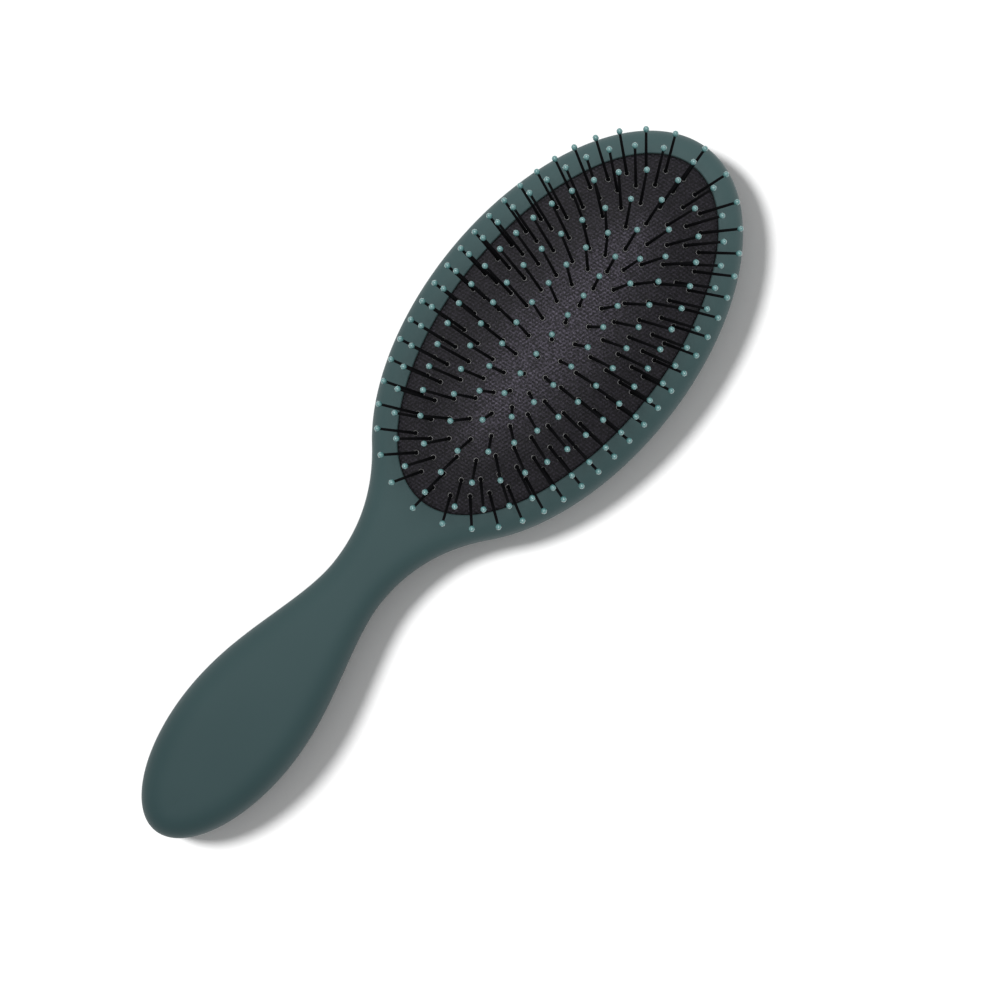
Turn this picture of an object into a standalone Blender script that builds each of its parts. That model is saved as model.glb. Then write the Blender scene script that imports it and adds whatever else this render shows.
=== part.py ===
"""Oval cushion hair brush, in metres with +Z up.

The brush lies on its back with its pins pointing up. The head points to +Y and
the grip to -Y. The origin is under the middle of the brush, on the surface it
lies on.

A back shell and a front shell close round a tray. The tray clamps the flange of
a domed rubber cushion under the lip of the front shell. The cushion is cut into
concentric oval slices, each with its own ring of ball-tipped pins, so that each
slice can sink a little past the next as the cushion gives.
"""

import math

import bmesh
import bpy
import numpy as np

MM = 0.001

# Outline of the brush, seen from above
OVERALL_LENGTH = 225.0 * MM
HEAD_HALF_WIDTH = 35.4 * MM
HEAD_HALF_LENGTH = 61.9 * MM
NECK_HALF_WIDTH = 8.0 * MM
NECK_PAST_HEAD = 20.1 * MM
FILLET_INTO_HEAD = 10.3 * MM
GRIP_HALF_WIDTH = 16.4 * MM
GRIP_END_LENGTH = 33.5 * MM
GRIP_SWELL_SHARE = 0.85
END_CORE_SHARE = 0.72
SPINE_SHARE = 0.62

# Heights of the two shells, measured from the surface the brush lies on
BACK_DEPTH = 7.5 * MM
RIM_DEPTH = 7.5 * MM
GRIP_CROWN = 10.0 * MM
GRIP_END_DROP_SHARE = 0.15
NECK_ARCH = 1.8 * MM
FRONT_ROUND = 9.0 * MM
BACK_ROUND = 11.0 * MM
BACK_ROUND_LIMIT_SHARE = 0.7
ROUND_LIMIT_SHARPNESS = 4
FRONT_SQUARENESS = 2.6
BACK_SQUARENESS = 2.1
INNER_SQUARENESS = 4.0

# Walls and the tongue that locates one shell in the other
SHELL_WALL = 2.2 * MM
LIP_THICKNESS = 2.0 * MM
TONGUE_WIDTH = 1.1 * MM
TONGUE_HEIGHT = 1.5 * MM
PARTING_GAP = 0.3 * MM
FIT_CLEARANCE = 0.3 * MM

# Oval opening for the cushion
RIM_WIDTH = 7.4 * MM
RIM_END_WIDTH = 6.8 * MM

# Cushion skin
CUSHION_CROWN = 7.2 * MM
SEAM_DEPTH = 0.6 * MM
SKIN_THICKNESS = 1.5 * MM
CROWN_FULLNESS = 2.3
CROWN_DRAW_IN = 0.95
SLICE_GAP = 0.35 * MM
SEAM_GAP = 0.3 * MM
EDGE_DRAW_IN = 0.35 * MM
FLANGE_REACH = 2.0 * MM
FLANGE_THICKNESS = 1.4 * MM

# Tray that clamps the flange and closes the air chamber
TRAY_FLOOR = 1.5 * MM
TRAY_RIM_WIDTH = 2.6 * MM
TRAY_RIM_HEIGHT = 3.0 * MM
SUPPORT_RIB_WIDTH = 1.6 * MM
RIB_ROOT = 1.0 * MM

# Locating pegs in the grip
PEG_RADIUS = 1.6 * MM
PEG_DEPTH = 3.0 * MM
SOCKET_WALL = 1.3 * MM
SOCKET_DROP = 1.0 * MM
PEG_PLACE_SHARES = (0.12, 0.52, 0.92)

# Pins
PIN_LENGTH = 17.5 * MM
PIN_BASE_WIDTH = 1.0 * MM
PIN_NECK_WIDTH = 0.62 * MM
BEAD_WIDTH = 1.3 * MM
BEAD_LENGTH = 1.7 * MM
BEAD_TOP_SHARE = 0.45
BEAD_BELLY_SHARE = 0.5

# Outward lean of the pins, as the sine of its angle: how it grows from the middle of
# the cushion, how it eases off near the edge, and how one way adds to the other
LEAN_ACROSS_SHARES = (1.13, -0.71, 0.28)
LEAN_ALONG_SHARES = (0.377, 0.195, -0.068)

# Centre row and rings of pins, from the middle of the cushion to its edge
CENTRE_PIN_COUNT = 8
CENTRE_ROW_SHARE = 0.353
RING_PIN_COUNTS = (20, 28, 36, 44, 48)
RING_WIDTH_SHARES = (0.189, 0.371, 0.553, 0.720, 0.855)
RING_LENGTH_SHARES = (0.487, 0.639, 0.741, 0.838, 0.919)
RING_ROUNDNESS_SHARES = (2.05, 1.61, 1.82, 1.88, 1.88)
RING_PIN_LENGTH_SHARES = (1.03, 1.02, 1.0, 0.97, 0.90)
CENTRE_SLICE_WIDTH_SHARE = 0.095
CENTRE_SLICE_LENGTH_SHARE = 0.425
LAST_SLICE_WIDTH_SHARE = 0.932
LAST_SLICE_LENGTH_SHARE = 0.962

# How finely the round shapes are cut
UPPER_HEAD_STEPS = 11
LOWER_HEAD_STEPS = 6
FILLET_STEPS = 4
NECK_STEPS = 3
GRIP_STEPS = 7
END_STEPS = 6
ROUND_STEPS = 6
INNER_STEPS = 4
SLICE_SIDES = 40
EDGE_SIDES = 48
PEG_SIDES = 12
OVAL_SAMPLES = 1440
MERGE_DISTANCE = 0.01 * MM

# Places and sizes worked out from the values above
HALF_LENGTH = OVERALL_LENGTH / 2
HEAD_Y = HALF_LENGTH - HEAD_HALF_LENGTH
HEAD_END_Y = HEAD_Y - HEAD_HALF_LENGTH
NECK_Y = HEAD_END_Y - NECK_PAST_HEAD
FILLET_Y = HEAD_END_Y + FILLET_INTO_HEAD
FILLET_LENGTH = FILLET_Y - NECK_Y
GRIP_Y = -HALF_LENGTH + GRIP_END_LENGTH
PAD_HALF_WIDTH = HEAD_HALF_WIDTH - RIM_WIDTH
PAD_HALF_LENGTH = HEAD_HALF_LENGTH - RIM_END_WIDTH
RIM_TOP = BACK_DEPTH + RIM_DEPTH
LIP_BOTTOM = RIM_TOP - LIP_THICKNESS
SKIN_EDGE = RIM_TOP - SEAM_DEPTH
FLANGE_TOP = LIP_BOTTOM - FIT_CLEARANCE
FLANGE_BOTTOM = FLANGE_TOP - FLANGE_THICKNESS
TRAY_TOP = FLANGE_BOTTOM - FIT_CLEARANCE
TRAY_BOTTOM = TRAY_TOP - TRAY_RIM_HEIGHT

# Colours of the finishes
SOFT_TOUCH_GREEN = (0.058, 0.095, 0.102, 1.0)
SOFT_TOUCH_BACK = (0.053, 0.088, 0.095, 1.0)
TRAY_GREY = (0.035, 0.037, 0.040, 1.0)
RUBBER_CHARCOAL = (0.028, 0.025, 0.031, 1.0)


def clear_scene():
    """Remove whatever the scene holds."""
    for thing in list(bpy.data.objects):
        bpy.data.objects.remove(thing, do_unlink=True)


def finish(name, colour, roughness):
    """A plain finish with the given colour and roughness."""
    material = bpy.data.materials.new(name)
    material.use_nodes = True
    shader = material.node_tree.nodes["Principled BSDF"]
    shader.inputs["Base Color"].default_value = colour
    shader.inputs["Roughness"].default_value = roughness
    shader.inputs["Metallic"].default_value = 0.0
    return material


def make_object(name, mesh_edit, material):
    """Turn an edited mesh into a named object with its own finish."""
    mesh = bpy.data.meshes.new(name)
    mesh_edit.to_mesh(mesh)
    mesh_edit.free()
    mesh.materials.append(material)
    mesh.shade_smooth()
    mesh.set_sharp_from_angle(angle=math.radians(35))
    piece = bpy.data.objects.new(name, mesh)
    bpy.context.scene.collection.objects.link(piece)
    return piece


def add_union(piece, name, mesh_edit):
    """Join a helper solid to a piece with a Boolean union."""
    mesh = bpy.data.meshes.new(name)
    mesh_edit.to_mesh(mesh)
    mesh_edit.free()
    helper = bpy.data.objects.new(name, mesh)
    helper.hide_render = True
    helper.display_type = "WIRE"
    bpy.context.scene.collection.objects.link(helper)
    union = piece.modifiers.new(name, "BOOLEAN")
    union.operation = "UNION"
    union.object = helper


def head_half_width(y):
    """Half the width of the oval head at y."""
    return HEAD_HALF_WIDTH * math.sqrt(1 - ((y - HEAD_Y) / HEAD_HALF_LENGTH) ** 2)


def outline_half_width(y):
    """Half the width of the neck and grip at y, from the head down to the widest grip."""
    if y >= NECK_Y:
        start = head_half_width(FILLET_Y)
        slope = (HEAD_Y - FILLET_Y) * HEAD_HALF_WIDTH ** 2 / (HEAD_HALF_LENGTH ** 2 * start)
        t = (y - NECK_Y) / FILLET_LENGTH
        rise = (start - NECK_HALF_WIDTH) * t * t * (3 - 2 * t)
        return NECK_HALF_WIDTH + rise + slope * FILLET_LENGTH * t * t * (t - 1)
    t = ((NECK_Y - y) / (NECK_Y - GRIP_Y)) ** GRIP_SWELL_SHARE
    swell = (1 - math.cos(math.pi * min(t, 1.0))) / 2
    return NECK_HALF_WIDTH + (GRIP_HALF_WIDTH - NECK_HALF_WIDTH) * swell


def ease(t):
    """A smooth rise from 0 to 1."""
    t = min(max(t, 0.0), 1.0)
    return t * t * (3 - 2 * t)


def stations():
    """Rays across the right half of the brush, from the head's top to the grip's end.

    Each is the point on the outline, the point on the opening or the axis that the
    front runs to, and the place on the axis that the back runs to.
    """
    rays = []
    last_angle = math.acos((FILLET_Y - HEAD_Y) / HEAD_HALF_LENGTH)
    spine_end = HEAD_Y + SPINE_SHARE * (FILLET_Y - HEAD_Y)
    widest = math.pi / 2
    angles = [widest * step / UPPER_HEAD_STEPS for step in range(UPPER_HEAD_STEPS)]
    angles += [widest + (last_angle - widest) * step / LOWER_HEAD_STEPS for step in range(LOWER_HEAD_STEPS)]
    for angle in angles:
        outer = (HEAD_HALF_WIDTH * math.sin(angle), HEAD_Y + HEAD_HALF_LENGTH * math.cos(angle))
        inner = (PAD_HALF_WIDTH * math.sin(angle), HEAD_Y + PAD_HALF_LENGTH * math.cos(angle))
        spine = HEAD_Y + SPINE_SHARE * HEAD_HALF_LENGTH * math.cos(angle)
        rays.append((outer, inner, spine))
    middle_y = (FILLET_Y + NECK_Y) / 2
    for step in range(FILLET_STEPS + 1):
        share = step / FILLET_STEPS
        y = FILLET_Y + (middle_y - FILLET_Y) * share
        angle = last_angle + (math.pi - last_angle) * share
        inner_x = 0.0 if step == FILLET_STEPS else PAD_HALF_WIDTH * math.sin(angle)
        inner = (inner_x, HEAD_Y + PAD_HALF_LENGTH * math.cos(angle))
        spine = spine_end + (NECK_Y - spine_end) * share / 2
        rays.append(((outline_half_width(y), y), inner, spine))
    pad_end = HEAD_Y - PAD_HALF_LENGTH
    for step in range(1, NECK_STEPS + 1):
        share = step / NECK_STEPS
        y = middle_y + (NECK_Y - middle_y) * share
        inner = (0.0, pad_end + (NECK_Y - pad_end) * share)
        spine = spine_end + (NECK_Y - spine_end) * (1 + share) / 2
        rays.append(((outline_half_width(y), y), inner, spine))
    for step in range(1, GRIP_STEPS + 1):
        y = NECK_Y + (GRIP_Y - NECK_Y) * step / GRIP_STEPS
        rays.append(((outline_half_width(y), y), (0.0, y), y))
    for step in range(1, END_STEPS + 1):
        angle = math.pi / 2 * step / END_STEPS
        x = 0.0 if step == END_STEPS else GRIP_HALF_WIDTH * math.cos(angle)
        reach = GRIP_END_LENGTH * math.sin(angle)
        core = GRIP_Y - END_CORE_SHARE * reach
        rays.append(((x, GRIP_Y - reach), (0.0, core), core))
    return rays


def front_depth(y):
    """How far the front rises above the parting line at y on the axis."""
    grip = ease((NECK_Y - y) / (NECK_Y - GRIP_Y))
    past = max(GRIP_Y - y, 0.0) / GRIP_END_LENGTH
    return RIM_DEPTH + (GRIP_CROWN - RIM_DEPTH) * grip - GRIP_CROWN * GRIP_END_DROP_SHARE * past ** 2


def back_depth(y):
    """How far the back falls below the parting line at y, less at the arched neck."""
    upper = ease((FILLET_Y - y) / (FILLET_Y - NECK_Y))
    lower = ease((y - GRIP_Y) / (NECK_Y - GRIP_Y))
    return BACK_DEPTH - NECK_ARCH * upper * lower


def rounded(steps, squareness):
    """Shares across and up for a quarter of a squared circle, edge first."""
    angles = [math.pi / 2 * step / steps for step in range(steps + 1)]
    power = 2 / squareness
    return [(1 - math.cos(a) ** power if a < math.pi / 2 else 1.0, math.sin(a) ** power) for a in angles]


def soft_limit(length, limit):
    """A reach just under the length while that is short, which levels off at the limit."""
    power = ROUND_LIMIT_SHARPNESS
    return (length ** -power + limit ** -power) ** (-1 / power)


def along(outer, inner, distance):
    """The point that lies a distance along the ray from the outline inwards."""
    length = math.dist(outer, inner)
    share = min(distance / length, 1.0)
    x = outer[0] + (inner[0] - outer[0]) * share
    y = outer[1] + (inner[1] - outer[1]) * share
    return (x if abs(x) > MERGE_DISTANCE else 0.0, y)


def front_section(ray):
    """Points of the front shell's wall along one ray, round from its outer edge."""
    outer, inner, _ = ray
    length = math.dist(outer, inner)
    depth = front_depth(inner[1])
    hollow = depth - LIP_THICKNESS
    round_reach = soft_limit(length, FRONT_ROUND)
    points = []
    for across, up in rounded(ROUND_STEPS, FRONT_SQUARENESS):
        height = BACK_DEPTH + PARTING_GAP / 2 + (depth - PARTING_GAP / 2) * up
        points.append((*along(outer, inner, round_reach * across), height))
    points.append((*along(outer, inner, length), BACK_DEPTH + depth))
    groove_top = BACK_DEPTH + TONGUE_HEIGHT + FIT_CLEARANCE
    for across, up in reversed(rounded(INNER_STEPS, INNER_SQUARENESS)):
        reach = SHELL_WALL + (length - SHELL_WALL) * across
        height = groove_top + (BACK_DEPTH + hollow - groove_top) * up
        points.append((*along(outer, inner, reach), height))
    groove_side = SHELL_WALL - TONGUE_WIDTH - FIT_CLEARANCE
    points.append((*along(outer, inner, groove_side), groove_top))
    points.append((*along(outer, inner, groove_side), BACK_DEPTH + PARTING_GAP / 2))
    return points


def back_section(ray):
    """Points of the back shell's wall along one ray, round from its outer edge."""
    outer, _, spine_y = ray
    spine = (0.0, spine_y)
    length = math.dist(outer, spine)
    depth = back_depth(spine_y)
    round_reach = min(BACK_ROUND, length * BACK_ROUND_LIMIT_SHARE)
    points = []
    for across, up in rounded(ROUND_STEPS, BACK_SQUARENESS):
        height = BACK_DEPTH - PARTING_GAP / 2 - (depth - PARTING_GAP / 2) * up
        points.append((*along(outer, spine, round_reach * across), height))
    points.append((*spine, BACK_DEPTH - depth))
    floor = BACK_DEPTH - depth + SHELL_WALL
    points.append((*spine, floor))
    for across, up in reversed(rounded(INNER_STEPS, BACK_SQUARENESS)):
        reach = SHELL_WALL + (round_reach - SHELL_WALL) * across
        height = BACK_DEPTH - PARTING_GAP / 2 - (BACK_DEPTH - PARTING_GAP / 2 - floor) * up
        points.append((*along(outer, spine, reach), height))
    tongue_side = SHELL_WALL - TONGUE_WIDTH
    points.append((*along(outer, spine, SHELL_WALL), BACK_DEPTH + TONGUE_HEIGHT))
    points.append((*along(outer, spine, tongue_side), BACK_DEPTH + TONGUE_HEIGHT))
    points.append((*along(outer, spine, tongue_side), BACK_DEPTH - PARTING_GAP / 2))
    return points


def half_shell(name, sections, open_row, open_from, material):
    """Loft wall sections into half a shell and mirror it across the axis.

    The faces that would close row open_row are left out from station open_from on,
    where both halves meet on the axis.
    """
    edit = bmesh.new()
    grid = [[edit.verts.new(point) for point in section] for section in sections]
    rows = len(grid[0])
    for station in range(len(grid) - 1):
        here = grid[station]
        there = grid[station + 1]
        for row in range(rows):
            if row == open_row and station >= open_from:
                continue
            after = (row + 1) % rows
            edit.faces.new((here[row], here[after], there[after], there[row]))
    bmesh.ops.recalc_face_normals(edit, faces=edit.faces[:])
    piece = make_object(name, edit, material)
    mirror = piece.modifiers.new("other_half", "MIRROR")
    mirror.use_axis = (True, False, False)
    mirror.use_mirror_merge = True
    mirror.merge_threshold = MERGE_DISTANCE
    return piece


def oval_ring(half_width, half_length, sides, height):
    """Corners of a level oval round the cushion's centre."""
    angles = [math.tau * side / sides for side in range(sides)]
    return [(half_width * math.sin(a), HEAD_Y + half_length * math.cos(a), height) for a in angles]


def lofted_ring(rings):
    """A closed ring solid from ovals that follow each other round its section."""
    edit = bmesh.new()
    loops = [[edit.verts.new(point) for point in ring] for ring in rings]
    for number, loop in enumerate(loops):
        band(edit, loop, loops[(number + 1) % len(loops)])
    bmesh.ops.recalc_face_normals(edit, faces=edit.faces[:])
    return edit


def band(edit, first, second):
    """Quads between two loops with as many corners each."""
    count = len(first)
    for side in range(count):
        after = (side + 1) % count
        edit.faces.new((first[side], first[after], second[after], second[side]))


def peg_places():
    """Places of the locating pegs along the grip's axis."""
    lowest = GRIP_Y - GRIP_END_LENGTH / 2
    return [NECK_Y + (lowest - NECK_Y) * share for share in PEG_PLACE_SHARES]


def upright_rod(radius, y, low, high):
    """A round rod standing on the axis of the brush."""
    edit = bmesh.new()
    bmesh.ops.create_cone(edit, cap_ends=True, segments=PEG_SIDES, radius1=radius, radius2=radius, depth=high - low)
    bmesh.ops.translate(edit, vec=(0.0, y, (high + low) / 2), verts=edit.verts[:])
    return edit


def upright_tube(outer_radius, inner_radius, y, low, high):
    """A round tube standing on the axis of the brush."""
    edit = bmesh.new()
    loops = []
    for radius, height in ((outer_radius, low), (outer_radius, high), (inner_radius, high), (inner_radius, low)):
        angles = [math.tau * side / PEG_SIDES for side in range(PEG_SIDES)]
        ring = [(radius * math.cos(a), y + radius * math.sin(a), height) for a in angles]
        loops.append([edit.verts.new(point) for point in ring])
    for number, loop in enumerate(loops):
        band(edit, loop, loops[(number + 1) % len(loops)])
    bmesh.ops.recalc_face_normals(edit, faces=edit.faces[:])
    return edit


def make_front_shell(rays):
    """Head frame with its lip, and the front of the grip with its pegs."""
    material = finish("soft_touch_front", SOFT_TOUCH_GREEN, 0.62)
    sections = [front_section(ray) for ray in rays]
    opening_end = UPPER_HEAD_STEPS + LOWER_HEAD_STEPS + FILLET_STEPS
    shell = half_shell("front_shell", sections, ROUND_STEPS + 1, opening_end, material)
    for number, y in enumerate(peg_places()):
        ceiling = BACK_DEPTH + front_depth(y) - LIP_THICKNESS / 2
        rod = upright_rod(PEG_RADIUS, y, BACK_DEPTH - PEG_DEPTH, ceiling)
        add_union(shell, f"peg_{number + 1}", rod)
    return shell


def make_back_shell(rays):
    """Back of the head and grip, with the tray's support and the peg sockets."""
    material = finish("soft_touch_back", SOFT_TOUCH_BACK, 0.62)
    sections = [back_section(ray) for ray in rays]
    shell = half_shell("back_shell", sections, ROUND_STEPS + 1, 0, material)
    rib_width = PAD_HALF_WIDTH
    rib_length = PAD_HALF_LENGTH
    rib_top = TRAY_BOTTOM - FIT_CLEARANCE
    inner = SUPPORT_RIB_WIDTH
    rib = lofted_ring([
        oval_ring(rib_width, rib_length, EDGE_SIDES, SHELL_WALL - RIB_ROOT),
        oval_ring(rib_width, rib_length, EDGE_SIDES, rib_top),
        oval_ring(rib_width - inner, rib_length - inner, EDGE_SIDES, rib_top),
        oval_ring(rib_width - inner, rib_length - inner, EDGE_SIDES, SHELL_WALL - RIB_ROOT),
    ])
    add_union(shell, "tray_support", rib)
    bore = PEG_RADIUS + FIT_CLEARANCE
    for number, y in enumerate(peg_places()):
        floor = BACK_DEPTH - back_depth(y) + SHELL_WALL
        tube = upright_tube(bore + SOCKET_WALL, bore, y, floor - RIB_ROOT, BACK_DEPTH - SOCKET_DROP)
        add_union(shell, f"socket_{number + 1}", tube)
    return shell


def make_tray():
    """Floor of the air chamber, with an upturned edge that clamps the cushion's flange."""
    reach = FLANGE_REACH - FIT_CLEARANCE
    outer = (PAD_HALF_WIDTH + reach, PAD_HALF_LENGTH + reach)
    inner = (outer[0] - TRAY_RIM_WIDTH, outer[1] - TRAY_RIM_WIDTH)
    floor_top = TRAY_BOTTOM + TRAY_FLOOR
    edit = bmesh.new()
    rings = [
        oval_ring(*outer, EDGE_SIDES, TRAY_BOTTOM),
        oval_ring(*outer, EDGE_SIDES, TRAY_TOP),
        oval_ring(*inner, EDGE_SIDES, TRAY_TOP),
        oval_ring(*inner, EDGE_SIDES, floor_top),
    ]
    loops = [[edit.verts.new(point) for point in ring] for ring in rings]
    for first, second in zip(loops, loops[1:]):
        band(edit, first, second)
    edit.faces.new(loops[0])
    edit.faces.new(loops[-1])
    bmesh.ops.recalc_face_normals(edit, faces=edit.faces[:])
    return make_object("cushion_tray", edit, finish("tray_plastic", TRAY_GREY, 0.5))


def skin_height(share):
    """Height of the cushion at a share of the way from its middle line to its edge."""
    fall = 1 - max(share, 0.0) ** CROWN_FULLNESS
    return SKIN_EDGE + CUSHION_CROWN * fall ** CROWN_DRAW_IN


def make_cushion_edge():
    """Outer band of the cushion: its last slope, its drawn-in side and its flange."""
    half_gap = SLICE_GAP / 2
    width = LAST_SLICE_WIDTH_SHARE * PAD_HALF_WIDTH + half_gap
    length = LAST_SLICE_LENGTH_SHARE * PAD_HALF_LENGTH + half_gap
    top = skin_height(LAST_SLICE_WIDTH_SHARE)
    side_width = PAD_HALF_WIDTH - SEAM_GAP
    side_length = PAD_HALF_LENGTH - SEAM_GAP
    middle_width = (width + side_width) / 2
    middle_height = skin_height(middle_width / PAD_HALF_WIDTH)
    side_height = (top + LIP_BOTTOM) / 2
    draw = EDGE_DRAW_IN
    reach = FLANGE_REACH
    rings = [
        oval_ring(width, length, EDGE_SIDES, top),
        oval_ring(middle_width, (length + side_length) / 2, EDGE_SIDES, middle_height),
        oval_ring(side_width, side_length, EDGE_SIDES, side_height),
        oval_ring(side_width - draw, side_length - draw, EDGE_SIDES, FLANGE_TOP),
        oval_ring(PAD_HALF_WIDTH + reach, PAD_HALF_LENGTH + reach, EDGE_SIDES, FLANGE_TOP),
        oval_ring(PAD_HALF_WIDTH + reach, PAD_HALF_LENGTH + reach, EDGE_SIDES, FLANGE_BOTTOM),
        oval_ring(width, length, EDGE_SIDES, FLANGE_BOTTOM),
    ]
    return make_object("cushion_edge", lofted_ring(rings), finish("cushion_edge_rubber", RUBBER_CHARCOAL, 0.7))


class Oval:
    """An oval round the cushion's centre, followed clockwise from +Y by its length."""

    def __init__(self, half_width, half_length, roundness):
        self.half_width = half_width
        self.half_length = half_length
        self.roundness = roundness
        turn = np.linspace(0.0, math.tau, OVAL_SAMPLES + 1)
        power = 2 / roundness
        self.x = half_width * np.sign(np.sin(turn)) * np.abs(np.sin(turn)) ** power
        self.y = half_length * np.sign(np.cos(turn)) * np.abs(np.cos(turn)) ** power
        steps = np.hypot(np.diff(self.x), np.diff(self.y))
        self.walked = np.concatenate(([0.0], np.cumsum(steps)))
        self.length = self.walked[-1]

    def place(self, share):
        """Point at a share of the way round, from the centre of the cushion."""
        distance = (share % 1.0) * self.length
        return (float(np.interp(distance, self.walked, self.x)), float(np.interp(distance, self.walked, self.y)))

    def normal(self, share):
        """Level direction straight out from the oval."""
        x, y = self.place(share)
        power = self.roundness - 1
        across = math.copysign(abs(x / self.half_width) ** power, x) / self.half_width
        along_y = math.copysign(abs(y / self.half_length) ** power, y) / self.half_length
        size = math.hypot(across, along_y)
        return (across / size, along_y / size)


def zip_loops(edit, first, first_shares, second, second_shares):
    """Triangles between two loops of unlike counts, matched by their share of the way round."""
    first_ends = list(first_shares[1:]) + [first_shares[0] + 1]
    second_ends = list(second_shares[1:]) + [second_shares[0] + 1]
    i = 0
    j = 0
    while i < len(first) or j < len(second):
        here = first[i % len(first)]
        there = second[j % len(second)]
        advance_first = j >= len(second) or (i < len(first) and first_ends[i] <= second_ends[j])
        if advance_first:
            i += 1
            edit.faces.new((here, first[i % len(first)], there))
        else:
            j += 1
            edit.faces.new((here, second[j % len(second)], there))


def pin_axis(x, y):
    """Direction of a pin that stands at x, y from the cushion's centre, leaning outwards."""
    across = x / PAD_HALF_WIDTH
    along_y = y / PAD_HALF_LENGTH
    grow, ease_off, mix = LEAN_ACROSS_SHARES
    lean_x = across * (grow + ease_off * across ** 2 + mix * along_y ** 2)
    grow, ease_off, mix = LEAN_ALONG_SHARES
    lean_y = along_y * (grow + ease_off * along_y ** 2 + mix * across ** 2)
    return np.array((lean_x, lean_y, math.sqrt(1 - lean_x ** 2 - lean_y ** 2)))


def raise_pin(edit, base, foot, out, length):
    """Extrude one four-sided pin with a bead from its base corners, along its lean.

    The base's corners run round from the one on the inner side and clockwise of out.
    """
    centre = np.array(foot)
    axis = pin_axis(foot[0], foot[1] - HEAD_Y)
    front = np.cross(axis, (-out[1], out[0], 0.0))
    front /= np.linalg.norm(front)
    side = np.cross(front, axis)
    levels = (
        (length - BEAD_LENGTH, PIN_NECK_WIDTH),
        (length - BEAD_LENGTH * BEAD_BELLY_SHARE, BEAD_WIDTH),
        (length, BEAD_WIDTH * BEAD_TOP_SHARE),
    )
    signs = ((-1, -1), (-1, 1), (1, 1), (1, -1))
    below = base
    for distance, width in levels:
        middle = centre + axis * distance
        corners = [middle + (side * a - front * b) * (width / 2) for a, b in signs]
        ring = [edit.verts.new(corner) for corner in corners]
        band(edit, below, ring)
        below = ring
    edit.faces.new(below)


def slice_loop(edit, oval, sides, height):
    """Corners of a slice's edge, evenly spaced round an oval."""
    corners = []
    for side in range(sides):
        x, y = oval.place(side / sides)
        corners.append(edit.verts.new((x, HEAD_Y + y, height)))
    return corners


def loop_shares(sides):
    """Share of the way round at each corner of a slice's edge."""
    return [side / sides for side in range(sides)]


def slice_bounds():
    """Width and length shares and roundness of the cuts between slices, middle first."""
    cuts = [(CENTRE_SLICE_WIDTH_SHARE, CENTRE_SLICE_LENGTH_SHARE, 2.0)]
    for ring in range(len(RING_PIN_COUNTS) - 1):
        width = (RING_WIDTH_SHARES[ring] + RING_WIDTH_SHARES[ring + 1]) / 2
        length = (RING_LENGTH_SHARES[ring] + RING_LENGTH_SHARES[ring + 1]) / 2
        roundness = (RING_ROUNDNESS_SHARES[ring] + RING_ROUNDNESS_SHARES[ring + 1]) / 2
        cuts.append((width, length, roundness))
    cuts.append((LAST_SLICE_WIDTH_SHARE, LAST_SLICE_LENGTH_SHARE, 2.0))
    return cuts


def cut_oval(cut, offset):
    """The oval of a cut, moved out by an offset."""
    width, length, roundness = cut
    return Oval(width * PAD_HALF_WIDTH + offset, length * PAD_HALF_LENGTH + offset, roundness)


def make_pin_ring(number, cuts, material):
    """One oval slice of the cushion with its ring of pins."""
    edit = bmesh.new()
    inner_top_height = skin_height(cuts[number - 1][0])
    outer_top_height = skin_height(cuts[number][0])
    inner_oval = cut_oval(cuts[number - 1], SLICE_GAP / 2)
    outer_oval = cut_oval(cuts[number], -SLICE_GAP / 2)
    shares = loop_shares(SLICE_SIDES)
    inner_top = slice_loop(edit, inner_oval, SLICE_SIDES, inner_top_height)
    outer_top = slice_loop(edit, outer_oval, SLICE_SIDES, outer_top_height)
    inner_low = slice_loop(edit, inner_oval, SLICE_SIDES, inner_top_height - SKIN_THICKNESS)
    outer_low = slice_loop(edit, outer_oval, SLICE_SIDES, outer_top_height - SKIN_THICKNESS)

    ring = number - 1
    count = RING_PIN_COUNTS[ring]
    width_share = RING_WIDTH_SHARES[ring]
    line = Oval(
        width_share * PAD_HALF_WIDTH,
        RING_LENGTH_SHARES[ring] * PAD_HALF_LENGTH,
        RING_ROUNDNESS_SHARES[ring],
    )
    half = PIN_BASE_WIDTH / 2
    half_share = half / PAD_HALF_WIDTH
    near_height = skin_height(width_share - half_share)
    far_height = skin_height(width_share + half_share)
    near_row = []
    far_row = []
    row_shares = []
    for pin in range(count):
        share = pin / count
        x, y = line.place(share)
        out = line.normal(share)
        tangent = (out[1], -out[0])
        corners = []
        for step, row, height in ((-half, near_row, near_height), (half, far_row, far_height)):
            for side in (-half, half):
                place_x = x + out[0] * step + tangent[0] * side
                place_y = HEAD_Y + y + out[1] * step + tangent[1] * side
                corner = edit.verts.new((place_x, place_y, height))
                row.append(corner)
                corners.append(corner)
        row_shares.append(share - half / line.length)
        row_shares.append(share + half / line.length)
        base = [corners[1], corners[3], corners[2], corners[0]]
        foot = (x, HEAD_Y + y, (near_height + far_height) / 2)
        raise_pin(edit, base, foot, out, PIN_LENGTH * RING_PIN_LENGTH_SHARES[ring])
    for pin in range(count):
        here = 2 * pin + 1
        after = (here + 1) % (2 * count)
        edit.faces.new((near_row[here], near_row[after], far_row[after], far_row[here]))
    zip_loops(edit, inner_top, shares, near_row, row_shares)
    zip_loops(edit, far_row, row_shares, outer_top, shares)
    band(edit, outer_top, outer_low)
    band(edit, outer_low, inner_low)
    band(edit, inner_low, inner_top)
    bmesh.ops.recalc_face_normals(edit, faces=edit.faces[:])
    return make_object(f"pin_ring_{number}", edit, material)


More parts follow.
